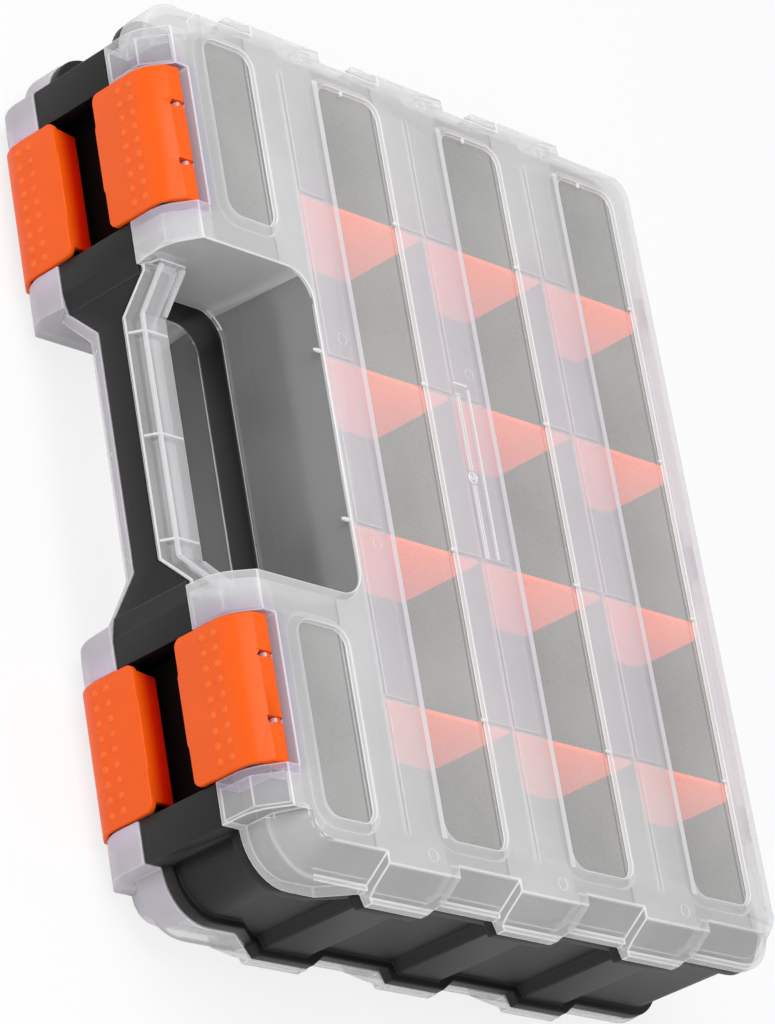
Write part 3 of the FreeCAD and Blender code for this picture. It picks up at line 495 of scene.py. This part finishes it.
class STORAGEBOX_OT_tray(bpy.types.Operator):
    """Dress the tray, its column walls and its floors"""
    bl_idname = "storagebox.tray"
    bl_label = "Tray"

    def execute(self, context):
        sizes, colours = context.scene.box_sizes, context.scene.box_colours
        plastic = charcoal_polypropylene(colours, "Charcoal polypropylene", False)
        pocket = charcoal_polypropylene(colours, "Charcoal polypropylene with painted pocket shade", True)
        for name in ("tray", "column_walls", "compartment_floors"):
            bm = cad_mesh(name)
            round_edges(bm, sizes.tray_round)
            # Faces lining the latch pockets take the second charcoal, which carries painted shade.
            for polygon in bm.faces:
                polygon.material_index = int(self.in_pocket(polygon))
            add_piece(bm, f"{name}_moulding", "tray", [plastic, pocket], [name])
        for side, sign in zip(SIDES, (-1, 1)):
            add_piece(self.cheek(sign), f"handle_cheek_{side}", "tray", [plastic])
        return {"FINISHED"}

    def in_pocket(self, polygon):
        """Whether a face lines one of the pockets behind the latches."""
        x, y, _ = polygon.calc_center_median()
        half, front, back = LATCH_HALF + 1.2 * MM, -128.8 * MM, -117.5 * MM
        return abs(abs(x) - LATCH_X) < half and front < y < back

    def cheek(self, sign):
        """A wedge that blends the handle's front into the block that carries the latches."""
        bm = bmesh.new()
        corners = ((54.5, -127.5), (62.6, -129.12), (62.6, -126))
        rings = [[bm.verts.new((sign * x * MM, y * MM, z * MM)) for x, y in corners] for z in (23.4, 56.6)]
        close_prism(bm, rings)
        return bm


def lid_region(face, polygon):
    """Which kind of sheet a face of a lid belongs to."""
    x, y, z = polygon.calc_center_median()
    x, z = abs(x), mirrored_z(z, face)
    level = abs(polygon.normal.z)
    upright = level < 0.5
    in_recess = x < RECESS_HALF and y < RECESS_Y and z < 79.6 * MM and (y > COVER_Y or upright)
    at_pane_height = 76.8 * MM < z < 78.7 * MM
    at_step_height = 78.4 * MM < z < 79.9 * MM
    smallest_pane = 300 * MM * MM
    # The lower lid's front takes the darker sheet: painted shade.
    if face == "lower" and y < COVER_Y:
        return SHADED_BLOCK
    if y < COVER_Y and x < COVER_HALF:
        return RECESS if polygon.normal.y < -0.3 else COVER
    if y < BLOCK_Y and RECESS_HALF < x < BLOCK_END:
        return FROSTED if x < LATCH_X + LATCH_HALF else CORNER
    if in_recess:
        return SKIRT if abs(polygon.normal.x) > 0.8 else RECESS
    if at_pane_height and level > 0.9 and polygon.calc_area() > smallest_pane:
        return CLEAR
    if at_step_height and upright and x < BLOCK_END and abs(y) < 107 * MM:
        return EDGE
    return FROSTED if level > 0.95 else SKIRT


class STORAGEBOX_OT_lids(bpy.types.Operator):
    """Dress the two lids with frosted strips and clearer windows"""
    bl_idname = "storagebox.lids"
    bl_label = "Lids"

    def execute(self, context):
        sizes, colours = context.scene.box_sizes, context.scene.box_colours
        # Each sheet's tint, veil on open faces, veil at edges, and roughness
        sheets = [frosted_polypropylene(colours, sizes, *sheet) for sheet in (
            ("Frosted polypropylene", FROSTED, colours.lid, 0.46, 0.66, 0.42),
            ("Clear polypropylene", CLEAR, colours.pane, 0.30, 0.4, 0.30),
            ("Polypropylene edge", EDGE, colours.lid_edge, 0.72, 0.80, 0.35),
            ("Thin frosted polypropylene", RECESS, colours.lid, 0.11, 0.4, 0.42),
            ("Frosted polypropylene cover", COVER, colours.lid, 0.34, 0.42, 0.40),
            ("Frosted polypropylene skirt", SKIRT, colours.lid, 0.34, 0.62, 0.42),
            ("Frosted polypropylene block with painted shade", SHADED_BLOCK, colours.shade, 0.85, 0.85, 0.42),
            ("Frosted polypropylene corner", CORNER, colours.lid, 0.26, 0.60, 0.42))]
        for face in FACES:
            bm = cad_mesh(f"{face}_lid")
            round_chosen(bm, lambda spot: self.at_brow(spot, face), 0, sizes.block_brow, 6)
            for polygon in bm.faces:
                polygon.material_index = lid_region(face, polygon)
            round_edges(bm, sizes.lid_round, skin=EDGE)
            for polygon in bm.faces:
                if polygon.material_index == EDGE:
                    polygon.material_index = self.edge_region(face, polygon)
            add_piece(bm, f"{face}_lid_moulding", f"{face}_lid", sheets, [f"{face}_lid"])
        return {"FINISHED"}

    def at_brow(self, spot, face):
        """Whether a point is on the edge between the front and the slope of a latch block."""
        return abs(spot.y - BROW_Y) < TOUCH and abs(mirrored_z(spot.z, face) - BROW_Z) < TOUCH

    def edge_region(self, face, polygon):
        """Sheet of a rounded edge: bright, but not where the edge catches no light.

        Those places are inside the handle cover, under the recess, round the front corners and on the lower front.
        """
        x, y, z = polygon.calc_center_median()
        x, z = abs(x), mirrored_z(z, face)
        cover_front, cover_back = -126.6 * MM, -113.4 * MM
        round_hole = x <= 56.6 * MM and -112 * MM < y < -79.6 * MM
        if x < COVER_HALF and cover_front < y < cover_back:
            return COVER
        if x < RECESS_HALF and z < 47 * MM and y > cover_back and not round_hole:
            return RECESS
        if x > BLOCK_END and y < -95 * MM and 60 * MM < z < 76 * MM:
            return SKIRT
        return SHADED_BLOCK if face == "lower" and y < BLOCK_Y else EDGE


class STORAGEBOX_OT_lid_marks(bpy.types.Operator):
    """Add the small marks of the lids: beads at the divider ends, pegs, gate rails and ejector rings"""
    bl_idname = "storagebox.lid_marks"
    bl_label = "Lid marks"

    def execute(self, context):
        sheets = [bpy.data.materials.get(name) for name in ("Polypropylene edge", "Frosted polypropylene")]
        if None in sheets:
            raise RuntimeError("the lids are dressed before their marks")
        for face in FACES:
            bm = bmesh.new()
            for column in range(len(COLUMNS)):
                self.add_column_marks(bm, FIRST_COLUMN_Y + column * COLUMN_PITCH)
            for x in (-30.0 * MM, 31.0 * MM):
                add_bead(bm, (x, -72.6 * MM, 79.2 * MM), (0.8 * MM, 2.4 * MM, 0.7 * MM))
            for x, y in ((-37.1 * MM, -60.1 * MM), (-39.7 * MM, 3.6 * MM), (37.1 * MM, -60.1 * MM)):
                add_ring(bm, (x, y, HEIGHT), 2.0 * MM, 0.08 * MM)
            self.add_gate(bm)
            bright = len(bm.faces)
            # Pale lines over the handle cover; the one along its ridge is a painted highlight.
            self.add_cover_lines(bm)
            for polygon in list(bm.faces)[bright:]:
                polygon.material_index = 1
            if face == "lower":
                bmesh.ops.transform(bm, matrix=Matrix.Translation((0, 0, HEIGHT)) @ Matrix.Scale(-1, 4, (0, 0, 1)),
                                    verts=bm.verts)
                bmesh.ops.reverse_faces(bm, faces=bm.faces)
            add_piece(bm, f"{face}_lid_marks", f"{face}_lid", sheets)
        return {"FINISHED"}

    def add_column_marks(self, bm, middle):
        """Beads at a window's rear edge beside each divider and at its far end, and a ring at each end of its strip."""
        bead_z, rear = 79.0 * MM, middle + WINDOW_HALF
        for place in DIVIDER_PLACES:
            add_bead(bm, (place, rear - 0.5 * MM, bead_z), (0.9 * MM, 1.3 * MM, 0.8 * MM))
        add_bead(bm, (0.5 * MM - WINDOW_END, middle - 2.5 * MM, bead_z), (1.3 * MM, 0.9 * MM, 0.8 * MM))
        for x in (144.7 * MM, -144.7 * MM):
            add_ring(bm, (x, middle - 23.5 * MM, HEIGHT), 2.2 * MM, 0.12 * MM)

    def add_gate(self, bm):
        """Long rails either side of the moulding gate in the middle strip, two cross rails, and the gate's rings."""
        rails = ((-33, 30.5, 0.9, 0.4), (-29.5, -1.5, -5.4, 0.25), (-29.5, -1.5, -4.2, 0.25), (4, 31, -5.1, 0.25),
                 (4, 31, -4.0, 0.25))
        for low, high, y, half in rails:
            add_bar(bm, (low * MM, y * MM, HEIGHT), (high * MM, y * MM, HEIGHT), half * MM)
        for x, front, back, half in ((-34.2, -6.3, 0.6, 0.35), (-30.2, -6.0, -3.6, 0.25)):
            add_bar(bm, (x * MM, front * MM, HEIGHT), (x * MM, back * MM, HEIGHT), half * MM)
        for radius, wire in ((1.9, 0.4), (0.7, 0.25)):
            add_ring(bm, (1.1 * MM, -4.6 * MM, HEIGHT), radius * MM, wire * MM)

    def add_cover_lines(self, bm):
        """Pale lines over the handle cover: a painted highlight along its ridge, lines across it above each inner rib,
        and up its rear ends.
        """
        broad, fine, end_z, rear_y = 0.6 * MM, 0.35 * MM, 63.2 * MM, -114 * MM
        ridge = [(-56 * MM, end_z), (-43 * MM, RIDGE_Z), (43 * MM, RIDGE_Z), (56 * MM, end_z)]
        for (x, z), (next_x, next_z) in zip(ridge, ridge[1:]):
            add_bar(bm, (x, RIDGE_Y, z), (next_x, RIDGE_Y, next_z), broad)
        for x in (-37 * MM, 0, 37 * MM):
            add_bar(bm, (x, -127.0 * MM, 47.3 * MM), (x, RIDGE_Y, RIDGE_Z), fine)
            add_bar(bm, (x, RIDGE_Y, 51.55 * MM), (x, -113.6 * MM, 51.6 * MM), fine)
        for sign in (-1, 1):
            add_bar(bm, (sign * 44 * MM, rear_y, 52.4 * MM), (sign * 56 * MM, rear_y, end_z), broad)


class STORAGEBOX_OT_latches(bpy.types.Operator):
    """Dress the four latches: rounded corners and bend, thumb pad and two rows of raised dots"""
    bl_idname = "storagebox.latches"
    bl_label = "Latches"

    def execute(self, context):
        sizes, colours = context.scene.box_sizes, context.scene.box_colours
        hook_half = 13 * MM
        plastic = orange_polypropylene("Orange polypropylene", colours.latch, 0.42, hook_half)
        # The dots take a lighter orange: a painted highlight.
        raised = orange_polypropylene("Orange raised polypropylene with painted highlight", colours.dot, 0.42, shaded_hook_half=0.0)
        for face in FACES:
            for side, sign in zip(SIDES, (-1, 1)):
                name = f"latch_{face}_{side}"
                bm = cad_mesh(name)
                self.soften(bm, face, sign, sizes)
                self.add_pad(bm, face, sign)
                round_edges(bm, sizes.latch_round, 3)
                self.add_grip(bm, face, sign, sizes)
                add_piece(bm, f"{name}_moulding", name, [plastic, raised], [name])
        return {"FINISHED"}

    def soften(self, bm, face, sign, sizes):
        """Round the two corners of the free edge and the bend."""
        def at_corner(spot):
            return self.at_free_edge(spot, face) and abs(abs(spot.x - sign * LATCH_X) - LATCH_HALF) < TOUCH

        def at_bend(spot):
            return abs(mirrored_z(spot.z, face) - LATCH_BEND_Z) < TOUCH and abs(spot.y - LATCH_FACE_Y) < TOUCH

        round_chosen(bm, at_corner, 1, sizes.latch_corner, 4)
        round_chosen(bm, at_bend, 0, sizes.latch_bend, 6)

    def at_free_edge(self, spot, face):
        return mirrored_z(spot.z, face) < FREE_EDGE_Z and spot.y < FREE_EDGE_Y

    def add_pad(self, bm, face, sign):
        """Push out the middle of the free edge as a long pad for the thumb."""
        middle, half, ramp, proud = sign * LATCH_X - 1.0 * MM, 11.2 * MM, 1.4 * MM, 0.5 * MM
        for x in (-half - ramp, -half, half, half + ramp):
            bmesh.ops.bisect_plane(bm, geom=[*bm.verts, *bm.edges, *bm.faces], dist=0.001 * MM,
                                   plane_co=(middle + x, 0, 0), plane_no=(1, 0, 0))
        down = proud if face == "lower" else -proud
        for vert in bm.verts:
            if self.at_free_edge(vert.co, face) and abs(vert.co.x - middle) < half + TOUCH:
                vert.co.z += down
        bm.normal_update()

    def add_grip(self, bm, face, sign, sizes):
        """Two rows of nine raised dots in the latch's second material, whose lighter orange is a painted highlight."""
        proud, dot_highlight_skin = 0.4 * MM, 1
        for row in (61.5 * MM, 66.6 * MM):
            for place in range(-4, 5):
                x = sign * LATCH_X + place * sizes.dot_pitch
                add_dome(bm, (x, LATCH_FACE_Y, mirrored_z(row, face)), sizes.dot_radius, proud, dot_highlight_skin)


class STORAGEBOX_OT_dividers(bpy.types.Operator):
    """Dress the lift-out dividers"""
    bl_idname = "storagebox.dividers"
    bl_label = "Dividers"

    def execute(self, context):
        sizes, colours = context.scene.box_sizes, context.scene.box_colours
        # The dividers carry a painted glow.
        plastic = orange_polypropylene("Orange divider polypropylene with painted glow", colours.divider, 0.45, shaded_hook_half=0.0, painted_glow=0.65)
        for face in FACES:
            for column in COLUMNS:
                for place in range(1, 5):
                    name = f"{face}_divider_{column}_{place}"
                    bm = cad_mesh(name)
                    round_edges(bm, sizes.divider_round)
                    add_piece(bm, f"{name}_plate", "tray", [plastic], [name])
        return {"FINISHED"}


class STORAGEBOX_OT_pins(bpy.types.Operator):
    """Give the hinge pins their steel"""
    bl_idname = "storagebox.pins"
    bl_label = "Hinge pins"

    def execute(self, context):
        steel = drawn_steel(context.scene.box_colours)
        for face in FACES:
            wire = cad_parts[f"{face}_hinge_pins"]
            wire.data.materials.clear()
            wire.data.materials.append(steel)
        return {"FINISHED"}


class STORAGEBOX_OT_stage(bpy.types.Operator):
    """Set up the pale floor, the soft lamps and the camera"""
    bl_idname = "storagebox.stage"
    bl_label = "Stage"

    def execute(self, context):
        scene, stage, colours = context.scene, context.scene.box_stage, context.scene.box_colours
        self.add_floor(scene, colours)
        self.add_lamps(scene, stage)
        camera = bpy.data.objects.new("Camera", bpy.data.cameras.new("Camera"))
        scene.collection.objects.link(camera)
        camera.data.lens = stage.camera_lens
        camera.data.sensor_width = 36
        camera.data.clip_end = 20
        view, up = Vector(stage.camera_view).normalized(), Vector(stage.camera_up).normalized()
        axes = Matrix((view.cross(up), up, -view)).transposed().to_4x4()
        camera.matrix_world = Matrix.Translation(Vector(stage.camera_spot)) @ axes
        scene.camera = camera
        scene.view_settings.view_transform = "Standard"
        return {"FINISHED"}

    def add_floor(self, scene, colours):
        # Matt studio card: the camera sees it as nearly white, and it keeps a soft shadow.
        whiteness, half, drop = 0.8, 6.0, 0.2 * MM
        material, tree, inputs, _ = start_material("Matt studio card")
        inputs["Base Color"].default_value = rgba(colours.floor)
        inputs["Roughness"].default_value = 0.9
        inputs["Specular IOR Level"].default_value = 0.1
        output = next(n for n in tree.nodes if n.type == "OUTPUT_MATERIAL")
        card = next(n for n in tree.nodes if n.type == "BSDF_PRINCIPLED")
        path = node(tree, "LightPath").outputs
        seen = maths(tree, "MAXIMUM", path["Is Camera Ray"], path["Is Transmission Ray"])
        seen = maths(tree, "MAXIMUM", seen, path["Is Glossy Ray"])
        part = maths(tree, "MULTIPLY", seen, whiteness)
        white = node(tree, "Emission", {"Color": (1, 1, 1, 1), "Strength": 1.0})
        mixed = node(tree, "MixShader", {0: part, 1: card.outputs["BSDF"], 2: white.outputs["Emission"]})
        tree.links.new(mixed.outputs["Shader"], output.inputs["Surface"])
        bm = bmesh.new()
        bmesh.ops.create_grid(bm, x_segments=8, y_segments=8, size=half)
        mesh = bpy.data.meshes.new("Floor")
        bm.to_mesh(mesh)
        bm.free()
        mesh.materials.append(material)
        floor = bpy.data.objects.new("Floor", mesh)
        floor.location.z = -drop
        scene.collection.objects.link(floor)

    def add_lamps(self, scene, stage):
        world = bpy.data.worlds.new("Studio")
        scene.world = world
        world.use_nodes = True
        sky = next(n for n in world.node_tree.nodes if n.type == "BACKGROUND")
        sky.inputs["Color"].default_value = (1, 1, 1, 1)
        sky.inputs["Strength"].default_value = stage.sky
        for name, spot, size, power in (("Key", (-0.3, -0.5, 1.3), 1.2, stage.key),
                                        ("Fill", (1.1, -0.5, 0.7), 1.0, stage.fill)):
            lamp = bpy.data.lights.new(name, "AREA")
            lamp.shape = "DISK"
            lamp.size = size
            lamp.energy = power
            holder = bpy.data.objects.new(name, lamp)
            holder.location = spot
            holder.rotation_euler = (-Vector(spot)).to_track_quat("-Z", "Y").to_euler()
            scene.collection.objects.link(holder)


PIECES = (STORAGEBOX_OT_tray, STORAGEBOX_OT_lids, STORAGEBOX_OT_lid_marks, STORAGEBOX_OT_latches,
          STORAGEBOX_OT_dividers, STORAGEBOX_OT_pins, STORAGEBOX_OT_stage)


class STORAGEBOX_PT_panel(bpy.types.Panel):
    """Lists the pieces of the box and what can be changed"""
    bl_idname = "STORAGEBOX_PT_panel"
    bl_label = "Storage Box"
    bl_space_type = "VIEW_3D"
    bl_region_type = "UI"
    bl_category = "Storage Box"

    def draw(self, context):
        for piece in PIECES:
            self.layout.operator(piece.bl_idname)
        for group in (context.scene.box_sizes, context.scene.box_colours, context.scene.box_stage):
            column = self.layout.column()
            for name in group.__annotations__:
                column.prop(group, name)


GROUPS = {"box_sizes": BoxSizes, "box_colours": BoxColours, "box_stage": BoxStage}


def register():
    for group in (*GROUPS.values(), *PIECES, STORAGEBOX_PT_panel):
        bpy.utils.register_class(group)
    for name, group in GROUPS.items():
        setattr(bpy.types.Scene, name, bpy.props.PointerProperty(type=group))


def unregister():
    for name in GROUPS:
        delattr(bpy.types.Scene, name)
    for group in (STORAGEBOX_PT_panel, *PIECES[::-1], *GROUPS.values()):
        bpy.utils.unregister_class(group)


def main():
    register()
    bpy.ops.storagebox.tray()
    bpy.ops.storagebox.lids()
    bpy.ops.storagebox.lid_marks()
    bpy.ops.storagebox.latches()
    bpy.ops.storagebox.dividers()
    bpy.ops.storagebox.pins()
    bpy.ops.storagebox.stage()


if __name__ == "__main__":
    main()
